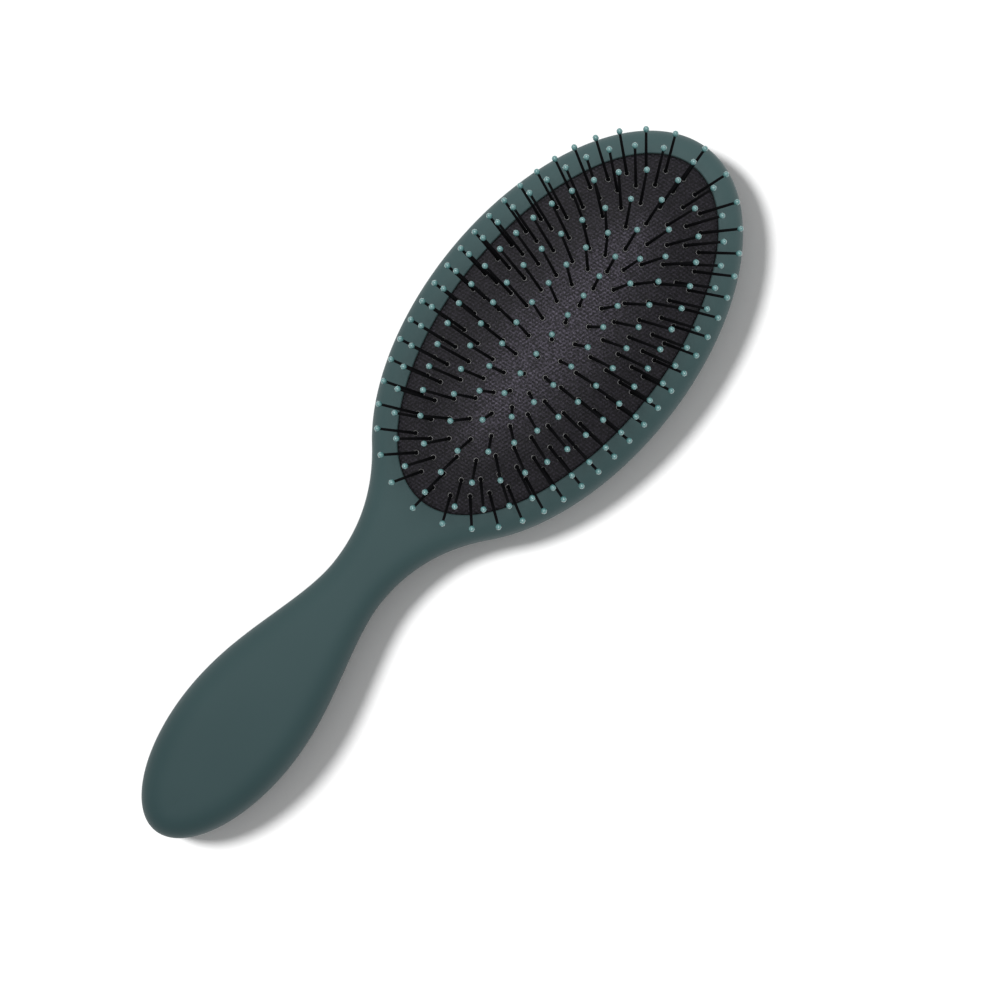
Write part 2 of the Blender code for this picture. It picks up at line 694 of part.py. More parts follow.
def make_pin_row(cuts, material):
    """The middle slice of the cushion with its straight row of pins."""
    edit = bmesh.new()
    oval = cut_oval(cuts[0], -SLICE_GAP / 2)
    shares = loop_shares(SLICE_SIDES)
    edge_height = skin_height(cuts[0][0])
    outer_top = slice_loop(edit, oval, SLICE_SIDES, edge_height)
    outer_low = slice_loop(edit, oval, SLICE_SIDES, edge_height - SKIN_THICKNESS)
    half = PIN_BASE_WIDTH / 2
    reach = CENTRE_ROW_SHARE * PAD_HALF_LENGTH
    top = skin_height(half / PAD_HALF_WIDTH)
    right = []
    left = []
    for pin in range(CENTRE_PIN_COUNT):
        y = HEAD_Y + reach - 2 * reach * pin / (CENTRE_PIN_COUNT - 1)
        for step in (half, -half):
            right.append(edit.verts.new((half, y + step, top)))
            left.append(edit.verts.new((-half, y + step, top)))
        base = [left[-1], right[-1], right[-2], left[-2]]
        raise_pin(edit, base, (0.0, y, top), (1.0, 0.0), PIN_LENGTH)
    for pin in range(CENTRE_PIN_COUNT - 1):
        here = 2 * pin + 1
        edit.faces.new((right[here], right[here + 1], left[here + 1], left[here]))
    row = right + left[::-1]
    row_shares = [(index + 0.5) / len(row) for index in range(len(row))]
    zip_loops(edit, row, row_shares, outer_top, shares)
    band(edit, outer_top, outer_low)
    edit.faces.new(outer_low)
    bmesh.ops.recalc_face_normals(edit, faces=edit.faces[:])
    return make_object("pin_row", edit, material)


def main():
    clear_scene()
    rays = stations()
    make_front_shell(rays)
    make_back_shell(rays)
    make_tray()
    make_cushion_edge()
    cuts = slice_bounds()
    make_pin_row(cuts, finish("pin_row_rubber", RUBBER_CHARCOAL, 0.6))
    for number in range(1, len(RING_PIN_COUNTS) + 1):
        make_pin_ring(number, cuts, finish(f"pin_ring_rubber_{number}", RUBBER_CHARCOAL, 0.6))


main()
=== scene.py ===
"""Looks of an oval cushion hair brush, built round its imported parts.

Everything is in metres in the frame of the solids: the brush lies on its back with
its pins up, its head to +Y and its grip to -Y. Curved pieces are worked out as
whole arrays from the same named values as the solids, at finer steps.
"""

import math

import bmesh
import bpy
import numpy as np
from mathutils import Matrix, Vector


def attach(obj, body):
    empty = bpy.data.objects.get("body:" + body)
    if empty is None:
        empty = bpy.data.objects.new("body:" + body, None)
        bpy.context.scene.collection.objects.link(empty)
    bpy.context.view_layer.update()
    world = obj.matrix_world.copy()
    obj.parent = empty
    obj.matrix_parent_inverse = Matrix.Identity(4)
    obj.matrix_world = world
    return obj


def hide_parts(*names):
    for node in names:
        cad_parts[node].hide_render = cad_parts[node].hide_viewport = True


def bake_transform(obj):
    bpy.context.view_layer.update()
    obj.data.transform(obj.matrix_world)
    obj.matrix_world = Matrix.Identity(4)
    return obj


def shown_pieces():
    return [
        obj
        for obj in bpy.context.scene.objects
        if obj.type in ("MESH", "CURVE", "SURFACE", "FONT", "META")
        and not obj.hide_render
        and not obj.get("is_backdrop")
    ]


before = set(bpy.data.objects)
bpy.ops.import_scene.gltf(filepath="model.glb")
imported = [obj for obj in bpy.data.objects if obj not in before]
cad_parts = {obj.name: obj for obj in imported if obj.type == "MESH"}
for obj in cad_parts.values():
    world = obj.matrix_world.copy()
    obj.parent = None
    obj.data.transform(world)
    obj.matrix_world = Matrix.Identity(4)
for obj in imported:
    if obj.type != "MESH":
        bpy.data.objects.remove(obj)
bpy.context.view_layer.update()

MM = 0.001

# Outline of the brush, as the solids have it
HALF_LENGTH = 112.5 * MM
HEAD_HALF_WIDTH = 35.4 * MM
HEAD_HALF_LENGTH = 61.9 * MM
HEAD_Y = HALF_LENGTH - HEAD_HALF_LENGTH
NECK_HALF_WIDTH = 8.0 * MM
NECK_Y = -31.4 * MM
FILLET_Y = -1.0 * MM
FILLET_LENGTH = FILLET_Y - NECK_Y
FILLET_MIDDLE_Y = (FILLET_Y + NECK_Y) / 2
GRIP_HALF_WIDTH = 16.4 * MM
GRIP_END_LENGTH = 33.5 * MM
GRIP_Y = -HALF_LENGTH + GRIP_END_LENGTH
GRIP_SWELL_SHARE = 0.85
END_CORE_SHARE = 0.72
SPINE_SHARE = 0.62

# Heights of the two shells and how they are rounded
BACK_DEPTH = 7.5 * MM
RIM_DEPTH = 7.5 * MM
GRIP_CROWN = 10.0 * MM
GRIP_END_DROP = 1.5 * MM
NECK_ARCH = 1.8 * MM
FRONT_ROUND = 9.0 * MM
ROUND_LIMIT_SHARPNESS = 4
BACK_ROUND = 11.0 * MM
BACK_ROUND_LIMIT_SHARE = 0.7
FRONT_SQUARENESS = 2.6
BACK_SQUARENESS = 2.1
INNER_SQUARENESS = 4.0
SHELL_WALL = 2.2 * MM
LIP_THICKNESS = 2.0 * MM
TONGUE_WIDTH = 1.1 * MM
TONGUE_HEIGHT = 1.5 * MM
HALF_PARTING_GAP = 0.15 * MM
FIT_CLEARANCE = 0.3 * MM
PARTING_EDGE_RADIUS = 0.25 * MM
OPENING_EDGE_RADIUS = 0.35 * MM

# Oval opening and the rubber cushion in it
PAD_HALF_WIDTH = 28.0 * MM
PAD_HALF_LENGTH = 55.1 * MM
SKIN_EDGE = 14.4 * MM
SKIN_THICKNESS = 1.5 * MM
CUSHION_CROWN = 7.2 * MM
CROWN_FULLNESS = 2.3
CROWN_DRAW_IN = 0.95
SEAM_GAP = 0.3 * MM
EDGE_DRAW_IN = 0.35 * MM
EDGE_CORNER_OUT = 0.02 * MM
EDGE_CORNER_DROP = 0.35 * MM
FLANGE_REACH = 2.0 * MM
FLANGE_TOP = 12.7 * MM
FLANGE_BOTTOM = 11.3 * MM
FLANGE_ROOT_SHARE = 0.93

# Ovals that the pins stand on and the cuts between them, from the middle outwards:
# share of the cushion's half-width, share of its half-length, roundness
OVAL_WIDTH_SHARES = (0.0, 0.095, 0.189, 0.371, 0.553, 0.720, 0.855, 0.932, 1.0)
OVAL_LENGTH_SHARES = (0.353, 0.425, 0.487, 0.639, 0.741, 0.838, 0.919, 0.962, 1.0)
OVAL_ROUNDNESSES = (2.0, 2.0, 2.05, 1.61, 1.82, 1.88, 1.88, 2.0, 2.0)
RING_OVALS = (2, 3, 4, 5, 6)
RING_PIN_COUNTS = (20, 28, 36, 44, 48)
RING_PIN_LENGTH_SHARES = (1.03, 1.02, 1.0, 0.97, 0.90)
CENTRE_PIN_COUNT = 8
PIN_LENGTH = 17.5 * MM
PIN_HALF_WIDTH = 0.5 * MM
BEAD_LENGTH = 1.7 * MM
LEAN_ACROSS_SHARES = (1.13, -0.71, 0.28)
LEAN_ALONG_SHARES = (0.377, 0.195, -0.068)

# Profiles of a pin's shaft, its ball tip and the eyelet round its foot, in millimetres:
# distance along the pin and radius
SHAFT_PROFILE = ((-0.5, 0.48), (0.3, 0.41))
SHAFT_TOP_RADIUS = 0.34 * MM
EYELET_PROFILE = ((-0.3, 0.92), (0.02, 0.88), (0.16, 0.76), (0.2, 0.64), (0.1, 0.5), (-0.3, 0.4))
EYELET_LEAN_SHARE = 0.3
TIP_PROFILE = ((0.0, 0.36), (0.22, 0.62), (0.62, 0.79), (1.05, 0.78), (1.42, 0.56), (1.66, 0.22))

# Soft-touch coat of the shells: its two shades, with a painted shade between them that darkens it to the
# grip's end, its gloss, its random drift of shade and its grain
SOFT_LIGHT = (65, 87, 88)
SOFT_DARK = (41, 63, 65)
SOFT_ROUGHNESS = 0.62
SOFT_SHEEN = 0.05
SOFT_SHEEN_ROUGHNESS = 0.4
SOFT_SPECULAR = 0.2
SOFT_PAINTED_SHADE_AT_END = 0.9
SOFT_DRIFT_SCALE = 22.0
SOFT_DRIFT = 0.1
SOFT_GRAIN_SCALE = 4200.0
SOFT_GRAIN_DETAIL = 3.0
SOFT_GRAIN_DEPTH = 0.012 * MM

# Rubber: its dark colour and the pale colour of its wear and painted sheen, its gloss, its rows of raised
# dashes and its crinkle
RUBBER_DARK = (4, 4, 6)
RUBBER_WEAR_AND_SHEEN = (112, 106, 122)
RUBBER_ROUGHNESS = 0.5
RUBBER_SPECULAR = 0.16
DASH_PITCH = 0.85 * MM
ROW_PITCH = 0.54 * MM
ROWS_TURN = math.radians(-39.0)
DASH_REACH = 0.7
DASH_SHARE = 0.45
CRINKLE_SCALE = 2100.0
CRINKLE_DETAIL = 1.0
CRINKLE_LOW = 0.36
CRINKLE_HIGH = 0.64
CRINKLE_SHARE = 0.55
RUBBER_RELIEF = 0.09 * MM

# How pale the raised spots are made at the rubber's edge and at its crown, and how sharply that rises:
# wear everywhere, and a painted sheen over the crown
WEAR_AND_SHEEN_AT_EDGE = 0.18
WEAR_AND_SHEEN_AT_CROWN = 0.7
PAINTED_SHEEN_POWER = 4.0

# Moulded plastic: its faint drift of shade and its grain
MOULD_DRIFT_SCALE = 300.0
MOULD_DARK_SHARE = 0.88
MOULD_GRAIN_SCALE = 2500.0
MOULD_GRAIN_DEPTH = 0.004 * MM

# Range that most values of the noise lie in
NOISE_LOW = 0.3
NOISE_HIGH = 0.7

# Lamps: power in watts or strength, place and point aimed at in metres, and size or angle
WINDOW_POWER = 0.65
WINDOW_PLACE = (-0.34, 0.16, 0.40)
WINDOW_AIM = (0.0, 0.02, 0.01)
WINDOW_SIZE = 0.30
OVERHEAD_STRENGTH = 0.50 * math.pi
OVERHEAD_PLACE = (0.0, 0.0, 1.0)
OVERHEAD_AIM = (0.03, 0.0, 0.0)
OVERHEAD_ANGLE = math.radians(36)
FLOOR_LIGHT_STRENGTH = 1.02 * math.pi
FLOOR_LIGHT_PLACE = (-0.72, -0.27, 1.0)
FLOOR_LIGHT_AIM = (0.0, 0.0, 0.0)
FLOOR_LIGHT_ANGLE = math.radians(14)
SKY_STRENGTH = 0.38

# Floor: its reach in metres and how it sends on bounced light
FLOOR_REACH = 1.5
FLOOR_GREY = (0.8, 0.8, 0.8, 1.0)
WHITE = (1.0, 1.0, 1.0, 1.0)

# Camera: place, point aimed at, lens and sensor in millimetres, and the picture's turn
CAMERA_PLACE = (35.413, -16.45, 799.944)
CAMERA_AIM = (15.12, 8.452, 10.0)
CAMERA_LENS = 111.21
CAMERA_SENSOR = 36.0
CAMERA_TURN = math.radians(39.064)

# How finely the surfaces are cut
HEAD_STEPS = 110
FILLET_STEPS = 30
NECK_STEPS = 26
GRIP_STEPS = 44
END_STEPS = 40
ROUND_STEPS = 22
EDGE_STEPS = 4
FLAT_STEPS = 5
INNER_STEPS = 4
SKIN_COLUMNS = 216
SKIN_STEP_SHARE = 0.016
SKIN_LEAST_STEPS = 8
PIN_SIDES = 8
OVAL_SAMPLES = 1440
WELD_DISTANCE = 0.001 * MM
SHARP_EDGE_ANGLE = math.radians(50)

# Distances past the opening's lowest point, in millimetres, where more stations stand
NEAR_OPENING = (0.08, 0.2, 0.35, 0.55, 0.85)


def ease(t):
    """A smooth rise from 0 to 1: three t squared less two t cubed."""
    t = np.clip(t, 0.0, 1.0)
    return t * t * (3 - 2 * t)


def outline_half_width(y):
    """Half-width of neck and grip at y.

    Above the neck it is a cubic that leaves the head's ellipse at that ellipse's own
    slope and comes level at the neck. Below, it is half a cosine wave to the grip.
    """
    start = HEAD_HALF_WIDTH * math.sqrt(1 - ((FILLET_Y - HEAD_Y) / HEAD_HALF_LENGTH) ** 2)
    slope = (HEAD_Y - FILLET_Y) * HEAD_HALF_WIDTH ** 2 / (HEAD_HALF_LENGTH ** 2 * start)
    t = np.clip((y - NECK_Y) / FILLET_LENGTH, 0.0, 1.0)
    widening = (start - NECK_HALF_WIDTH) * ease(t)
    fillet = NECK_HALF_WIDTH + widening + slope * FILLET_LENGTH * t * t * (t - 1)
    t = np.clip((NECK_Y - y) / (NECK_Y - GRIP_Y), 0.0, 1.0) ** GRIP_SWELL_SHARE
    grip = NECK_HALF_WIDTH + (GRIP_HALF_WIDTH - NECK_HALF_WIDTH) * (1 - np.cos(np.pi * t)) / 2
    return np.where(y >= NECK_Y, fillet, grip)


def stations():
    """Rays across the right half of the brush, from the head's top to the grip's end.

    In the head a ray joins the outline's ellipse to the opening's ellipse at the same
    angle. Through the fillet it swings on to the opening's lowest point, and below
    that it ends on the axis. Returned are the outer points, the inner points, the
    axis points of the back and the number of the ray at the opening's lowest point.
    """
    last = math.acos((FILLET_Y - HEAD_Y) / HEAD_HALF_LENGTH)
    spine_end = HEAD_Y + SPINE_SHARE * (FILLET_Y - HEAD_Y)
    pad_end = HEAD_Y - PAD_HALF_LENGTH

    angle = np.linspace(0.0, last, HEAD_STEPS, endpoint=False)
    outer = [np.stack((HEAD_HALF_WIDTH * np.sin(angle), HEAD_Y + HEAD_HALF_LENGTH * np.cos(angle)), 1)]
    inner = [np.stack((PAD_HALF_WIDTH * np.sin(angle), HEAD_Y + PAD_HALF_LENGTH * np.cos(angle)), 1)]
    spine = [HEAD_Y + SPINE_SHARE * HEAD_HALF_LENGTH * np.cos(angle)]

    share = np.linspace(0.0, 1.0, FILLET_STEPS + 1)
    y = FILLET_Y + (FILLET_MIDDLE_Y - FILLET_Y) * share
    angle = last + (math.pi - last) * share
    outer.append(np.stack((outline_half_width(y), y), 1))
    inner.append(np.stack((PAD_HALF_WIDTH * np.sin(angle), HEAD_Y + PAD_HALF_LENGTH * np.cos(angle)), 1))
    inner[-1][-1] = (0.0, pad_end)
    spine.append(spine_end + (NECK_Y - spine_end) * share / 2)

    near = np.array(NEAR_OPENING) * MM / (pad_end - NECK_Y)
    share = np.concatenate((near, np.linspace(0.0, 1.0, NECK_STEPS)[2:]))
    y = FILLET_MIDDLE_Y + (NECK_Y - FILLET_MIDDLE_Y) * share
    outer.append(np.stack((outline_half_width(y), y), 1))
    inner.append(np.stack((0 * y, pad_end + (NECK_Y - pad_end) * share), 1))
    spine.append(spine_end + (NECK_Y - spine_end) * (1 + share) / 2)

    y = NECK_Y + (GRIP_Y - NECK_Y) * np.arange(1, GRIP_STEPS + 1) / GRIP_STEPS
    outer.append(np.stack((outline_half_width(y), y), 1))
    inner.append(np.stack((0 * y, y), 1))
    spine.append(y)

    angle = np.pi / 2 * np.arange(1, END_STEPS + 1) / END_STEPS
    reach = GRIP_END_LENGTH * np.sin(angle)
    core = GRIP_Y - END_CORE_SHARE * reach
    outer.append(np.stack((GRIP_HALF_WIDTH * np.cos(angle), GRIP_Y - reach), 1))
    outer[-1][-1, 0] = 0.0
    inner.append(np.stack((0 * core, core), 1))
    spine.append(core)
    return np.concatenate(outer), np.concatenate(inner), np.concatenate(spine), HEAD_STEPS + FILLET_STEPS


def front_depth(y):
    """Rise of the front above the parting line.

    It eases from the rim to the grip, less a drop at the grip's end that grows with
    the square of the way past the grip's widest place.
    """
    grip = ease((NECK_Y - y) / (NECK_Y - GRIP_Y))
    past = np.maximum(GRIP_Y - y, 0.0) / GRIP_END_LENGTH
    return RIM_DEPTH + (GRIP_CROWN - RIM_DEPTH) * grip - GRIP_END_DROP * past ** 2


def back_depth(y):
    """Fall of the back below the parting line, less a smooth arch at the neck."""
    upper = ease((FILLET_Y - y) / (FILLET_Y - NECK_Y))
    lower = ease((y - GRIP_Y) / (NECK_Y - GRIP_Y))
    return BACK_DEPTH - NECK_ARCH * upper * lower


def squared_rise(share, squareness):
    """Height share of a squared quarter circle at a share of the way across it."""
    return (1 - np.clip(1 - share, 0.0, 1.0) ** squareness) ** (1 / squareness)


def walk(outer, inner, distance):
    """Level points at distances along each ray, from its outer end. Arrays of stations by rows."""
    run = inner - outer
    length = np.hypot(run[:, 0], run[:, 1])
    share = np.minimum(distance / length[:, None], 1.0)
    points = outer[:, None, :] + run[:, None, :] * share[:, :, None]
    points[np.abs(points[:, :, 0]) < WELD_DISTANCE, 0] = 0.0
    return points


def opening_drop(points):
    """How far the rounded edge of the opening falls, as a quarter circle of its radius.

    The distance to the opening's ellipse is taken as its level value less one, over
    the slope of that value.
    """
    across = points[..., 0] / PAD_HALF_WIDTH
    along = (points[..., 1] - HEAD_Y) / PAD_HALF_LENGTH
    level = np.hypot(across, along)
    slope = np.hypot(across / PAD_HALF_WIDTH, along / PAD_HALF_LENGTH) / level
    distance = np.clip((level - 1) / slope, 0.0, OPENING_EDGE_RADIUS)
    return OPENING_EDGE_RADIUS - np.sqrt(OPENING_EDGE_RADIUS ** 2 - (OPENING_EDGE_RADIUS - distance) ** 2)


def soft_limit(length, limit):
    """A reach just under the length while that is short, which levels off at the limit."""
    power = ROUND_LIMIT_SHARPNESS
    return (length ** -power + limit ** -power) ** (-1 / power)


def rows_of(columns, count):
    """Lists of distances and heights, one value or one per station, as arrays of stations by rows."""
    return np.stack([np.broadcast_to(column, (count,)) for column in columns], 1)


def front_sections(outer, inner):
    """Wall sections of the front shell and the number of the row at the inner edge of its top.

    From the parting line the wall turns a small quarter circle, rises as a squared
    quarter circle, runs flat to the opening or the axis, turns down there, and comes
    back inside at the wall's thickness to the groove for the tongue.
    """
    count = len(outer)
    length = np.hypot(*(inner - outer).T)
    depth = front_depth(inner[:, 1])
    low = BACK_DEPTH + HALF_PARTING_GAP
    rise = depth - HALF_PARTING_GAP
    reach = soft_limit(length, FRONT_ROUND)
    flat = length - OPENING_EDGE_RADIUS - reach
    distances = []
    heights = []
    for turn in np.linspace(0.0, np.pi / 2, EDGE_STEPS + 1):
        distances.append(PARTING_EDGE_RADIUS * (1 - np.sin(turn)))
        heights.append(low + PARTING_EDGE_RADIUS * (1 - np.cos(turn)))
    for turn in np.linspace(0.0, np.pi / 2, ROUND_STEPS + 1)[1:-1]:
        share = 1 - np.cos(turn) ** (2 / FRONT_SQUARENESS)
        distances.append(reach * share)
        heights.append(low + rise * squared_rise(share, FRONT_SQUARENESS))
    for share in np.linspace(0.0, 1.0, FLAT_STEPS, endpoint=False):
        distances.append(reach + flat * share)
        heights.append(low + rise)
    for turn in np.linspace(0.0, np.pi / 2, EDGE_STEPS + 2):
        distances.append(length - OPENING_EDGE_RADIUS * (1 - np.sin(turn)))
        heights.append(low + rise)
    inner_edge = len(distances) - 1
    groove_top = BACK_DEPTH + TONGUE_HEIGHT + FIT_CLEARANCE
    for turn in np.linspace(np.pi / 2, 0.0, INNER_STEPS + 1):
        share = 1 - np.cos(turn) ** (2 / INNER_SQUARENESS) if turn < np.pi / 2 else 1.0
        distances.append(SHELL_WALL + (length - SHELL_WALL) * share)
        roof = BACK_DEPTH + depth - LIP_THICKNESS - groove_top
        heights.append(groove_top + roof * np.sin(turn) ** (2 / INNER_SQUARENESS))
    groove_side = SHELL_WALL - TONGUE_WIDTH - FIT_CLEARANCE
    distances += [groove_side, groove_side]
    heights += [groove_top, low]
    points = walk(outer, inner, rows_of(distances, count))
    height = rows_of(heights, count)
    height[:, :inner_edge + 1] -= opening_drop(points[:, :inner_edge + 1])
    return np.concatenate((points, height[:, :, None]), 2), inner_edge


def back_sections(outer, spine_y):
    """Wall sections of the back shell and the number of the row on the axis outside.

    From the parting line the wall turns a small quarter circle, falls as a squared
    quarter circle, runs flat to the axis, and comes back inside to the tongue.
    """
    count = len(outer)
    spine = np.stack((0 * spine_y, spine_y), 1)
    length = np.hypot(*(spine - outer).T)
    depth = back_depth(spine_y)
    reach = np.minimum(BACK_ROUND, length * BACK_ROUND_LIMIT_SHARE)
    high = BACK_DEPTH - HALF_PARTING_GAP
    fall = depth - HALF_PARTING_GAP
    distances = []
    heights = []
    for turn in np.linspace(0.0, np.pi / 2, EDGE_STEPS + 1):
        distances.append(PARTING_EDGE_RADIUS * (1 - np.sin(turn)))
        heights.append(high - PARTING_EDGE_RADIUS * (1 - np.cos(turn)))
    for turn in np.linspace(0.0, np.pi / 2, ROUND_STEPS + 1)[1:]:
        share = 1 - np.cos(turn) ** (2 / BACK_SQUARENESS) if turn < np.pi / 2 else 1.0
        distances.append(reach * share)
        heights.append(high - fall * squared_rise(share, BACK_SQUARENESS))
    for share in np.arange(1, FLAT_STEPS + 1) / FLAT_STEPS:
        distances.append(reach + (length - reach) * share)
        heights.append(BACK_DEPTH - depth)
    on_axis = len(distances) - 1
    floor = BACK_DEPTH - depth + SHELL_WALL
    distances.append(length)
    heights.append(floor)
    for turn in np.linspace(np.pi / 2, 0.0, INNER_STEPS + 1):
        share = 1 - np.cos(turn) ** (2 / BACK_SQUARENESS) if turn < np.pi / 2 else 1.0
        distances.append(SHELL_WALL + (reach - SHELL_WALL) * share)
        heights.append(high - (high - floor) * np.sin(turn) ** (2 / BACK_SQUARENESS))
    tongue_side = SHELL_WALL - TONGUE_WIDTH
    distances += [SHELL_WALL, tongue_side, tongue_side]
    heights += [BACK_DEPTH + TONGUE_HEIGHT, BACK_DEPTH + TONGUE_HEIGHT, high]
    points = walk(outer, spine, rows_of(distances, count))
    height = rows_of(heights, count)
    return np.concatenate((points, height[:, :, None]), 2), on_axis


def mesh_of(name, points, faces):
    """A smooth mesh from an array of points and an array of four-cornered faces."""
    mesh = bpy.data.meshes.new(name)
    mesh.vertices.add(len(points))
    mesh.vertices.foreach_set("co", points.astype(np.float32).ravel())
    mesh.loops.add(faces.size)
    mesh.loops.foreach_set("vertex_index", faces.astype(np.int32).ravel())
    mesh.polygons.add(len(faces))
    mesh.polygons.foreach_set("loop_start", np.arange(0, faces.size, 4, dtype=np.int32))
    mesh.polygons.foreach_set("use_smooth", np.ones(len(faces), bool))
    mesh.update(calc_edges=True)
    mesh.validate()
    return mesh


def make_piece(name, mesh, material):
    """Put a mesh into the scene as a piece with one finish."""
    mesh.materials.append(material)
    piece = bpy.data.objects.new(name, mesh)
    bpy.context.scene.collection.objects.link(piece)
    return piece


def grid_faces(rows, columns, close_rows, close_columns):
    """Corner numbers of the faces between the points of a grid, closed on itself or not."""
    row = np.arange(rows if close_rows else rows - 1)[:, None]
    column = np.arange(columns if close_columns else columns - 1)[None, :]
    next_row = (row + 1) % rows
    next_column = (column + 1) % columns
    corners = (
        row * columns + column,
        row * columns + next_column,
        next_row * columns + next_column,
        next_row * columns + column,
    )
    return np.stack(np.broadcast_arrays(*corners), 2)


def shell_mesh(name, sections, open_row, open_from):
    """Both halves of a shell from the wall sections of its right half.

    The faces that would close row open_row are left out from station open_from on,
    where the halves meet on the axis. The left half is the right one with x turned
    round, and the points on the axis are then merged.
    """
    count, rows, _ = sections.shape
    faces = grid_faces(count, rows, False, True)
    keep = np.ones(faces.shape[:2], bool)
    keep[open_from:, open_row] = False
    faces = faces[keep]
    points = sections.reshape(-1, 3)
    both_halves = np.concatenate((points, points * (-1, 1, 1)))
    all_faces = np.concatenate((faces, faces[:, ::-1] + len(points)))
    mesh = mesh_of(name, both_halves, all_faces)
    edit = bmesh.new()
    edit.from_mesh(mesh)
    bmesh.ops.remove_doubles(edit, verts=edit.verts, dist=WELD_DISTANCE)
    bmesh.ops.recalc_face_normals(edit, faces=edit.faces)
    edit.to_mesh(mesh)
    edit.free()
    mesh.set_sharp_from_angle(angle=SHARP_EDGE_ANGLE)
    return mesh


def smooth_through(share, places, values):
    """Cubic curve through knots, with the mean slope of its neighbours at each knot."""
    places = np.asarray(places)
    values = np.asarray(values)
    slopes = np.gradient(values, places)
    knot = np.clip(np.searchsorted(places, share, side="right") - 1, 0, len(places) - 2)
    width = places[knot + 1] - places[knot]
    t = (share - places[knot]) / width
    rise = values[knot + 1] - values[knot]
    bow = slopes[knot] * width * t * (1 - t) ** 2 - slopes[knot + 1] * width * t * t * (1 - t)
    return values[knot] + rise * ease(t) + bow


def skin_height(share):
    """Height of the cushion at a share of the way from its middle line to its edge."""
    fall = 1 - np.clip(share, 0.0, 1.0) ** CROWN_FULLNESS
    return SKIN_EDGE + CUSHION_CROWN * fall ** CROWN_DRAW_IN


def level_oval(half_width, half_length, roundness, angle):
    """Points of an oval round the cushion's centre, clockwise from +Y: sine and cosine to a power."""
    power = 2 / roundness
    x = half_width * np.sign(np.sin(angle)) * np.abs(np.sin(angle)) ** power
    y = half_length * np.sign(np.cos(angle)) * np.abs(np.cos(angle)) ** power
    return x, y


def skin_rows():
    """Shares of the way out at each row of the cushion's top, with one on every ring of pins."""
    rings = [OVAL_WIDTH_SHARES[oval] for oval in RING_OVALS]
    knots = np.array([0.0, *rings, 1 - SEAM_GAP / PAD_HALF_WIDTH])
    parts = []
    for start, end in zip(knots, knots[1:]):
        steps = max(SKIN_LEAST_STEPS, round((end - start) / SKIN_STEP_SHARE))
        parts.append(np.linspace(start, end, steps, endpoint=False))
    parts.append(knots[-1:])
    rows = np.concatenate(parts)
    places = np.cumsum([0] + [len(part) for part in parts[:-1]])
    return rows, places


def skin_surface(rows):
    """Points and normals of the cushion's top, as arrays of rows by columns.

    A row is the oval at its share of the way out, and its width, length and roundness
    run smoothly through those of the rings of pins. The normal is the cross product
    of the slopes along the rows and across them.
    """
    angle = np.linspace(0.0, math.tau, SKIN_COLUMNS, endpoint=False)[None, :]
    share = rows[:, None]
    length = PAD_HALF_LENGTH * smooth_through(share, OVAL_WIDTH_SHARES, OVAL_LENGTH_SHARES)
    roundness = smooth_through(share, OVAL_WIDTH_SHARES, OVAL_ROUNDNESSES)
    x, y = level_oval(PAD_HALF_WIDTH * share, length, roundness, angle)
    points = np.stack((x, HEAD_Y + y, np.broadcast_to(skin_height(share), x.shape)), 2)
    outward = np.gradient(points, rows, axis=0)
    around = np.roll(points, -1, axis=1) - np.roll(points, 1, axis=1)
    normals = np.cross(around, outward)
    normals *= np.sign(normals[:, :, 2:])
    normals[0] = (0.0, 0.0, 1.0)
    normals /= np.linalg.norm(normals, axis=2, keepdims=True)
    return points, normals


def skin_band_mesh(name, rows, first_row_folds):
    """Closed band of the cushion from its wall's rows, each with points and normals.

    Where the first and last rows are folded, both lie on the middle line and their
    two sides share points. Otherwise the last row joins the first. Each point also
    keeps its height at rest, for the painted sheen on the rubber's crown.
    """
    points = np.stack([row[0] for row in rows])
    normals = np.stack([row[1] for row in rows])
    count, columns, _ = points.shape
    faces = grid_faces(count, columns, not first_row_folds, True).reshape(-1, 4)
    if first_row_folds:
        column = np.arange(columns)
        folded = np.minimum(column, (columns - column) % columns)
        number = np.arange(count * columns).reshape(count, columns)
        number[0] = number[0][folded]
        number[-1] = number[-1][folded]
        faces = number.ravel()[faces]
    used, faces = np.unique(faces, return_inverse=True)
    mesh = mesh_of(name, points.reshape(-1, 3)[used], faces.reshape(-1, 4))
    mesh.normals_split_custom_set_from_vertices(normals.reshape(-1, 3)[used])
    height = mesh.attributes.new("height_at_rest", "FLOAT", "POINT")
    height.data.foreach_set("value", points[:, :, 2].ravel()[used].astype(np.float32))
    return mesh


def pin_axes(x, y):
    """Directions of pins at places from the cushion's centre.

    The sine of the lean grows with the place, eases off with its cube, and takes a
    little from the other way.
    """
    across = x / PAD_HALF_WIDTH
    along = y / PAD_HALF_LENGTH
    grow, ease_off, mix = LEAN_ACROSS_SHARES
    lean_x = across * (grow + ease_off * across ** 2 + mix * along ** 2)
    grow, ease_off, mix = LEAN_ALONG_SHARES
    lean_y = along * (grow + ease_off * along ** 2 + mix * across ** 2)
    return np.stack((lean_x, lean_y, np.sqrt(1 - lean_x ** 2 - lean_y ** 2)), 1)


def ring_feet(ring):
    """Places of a ring's pins, evenly spaced along their oval, and how long each pin is."""
    angle = np.linspace(0.0, math.tau, OVAL_SAMPLES + 1)
    oval = RING_OVALS[ring]
    share = OVAL_WIDTH_SHARES[oval]
    length = PAD_HALF_LENGTH * OVAL_LENGTH_SHARES[oval]
    x, y = level_oval(PAD_HALF_WIDTH * share, length, OVAL_ROUNDNESSES[oval], angle)
    walked = np.concatenate(([0.0], np.cumsum(np.hypot(np.diff(x), np.diff(y)))))
    count = RING_PIN_COUNTS[ring]
    distance = walked[-1] * np.arange(count) / count
    feet = np.stack((np.interp(distance, walked, x), np.interp(distance, walked, y)), 1)
    half_share = PIN_HALF_WIDTH / PAD_HALF_WIDTH
    height = (skin_height(share - half_share) + skin_height(share + half_share)) / 2
    return feet, height, PIN_LENGTH * RING_PIN_LENGTH_SHARES[ring]


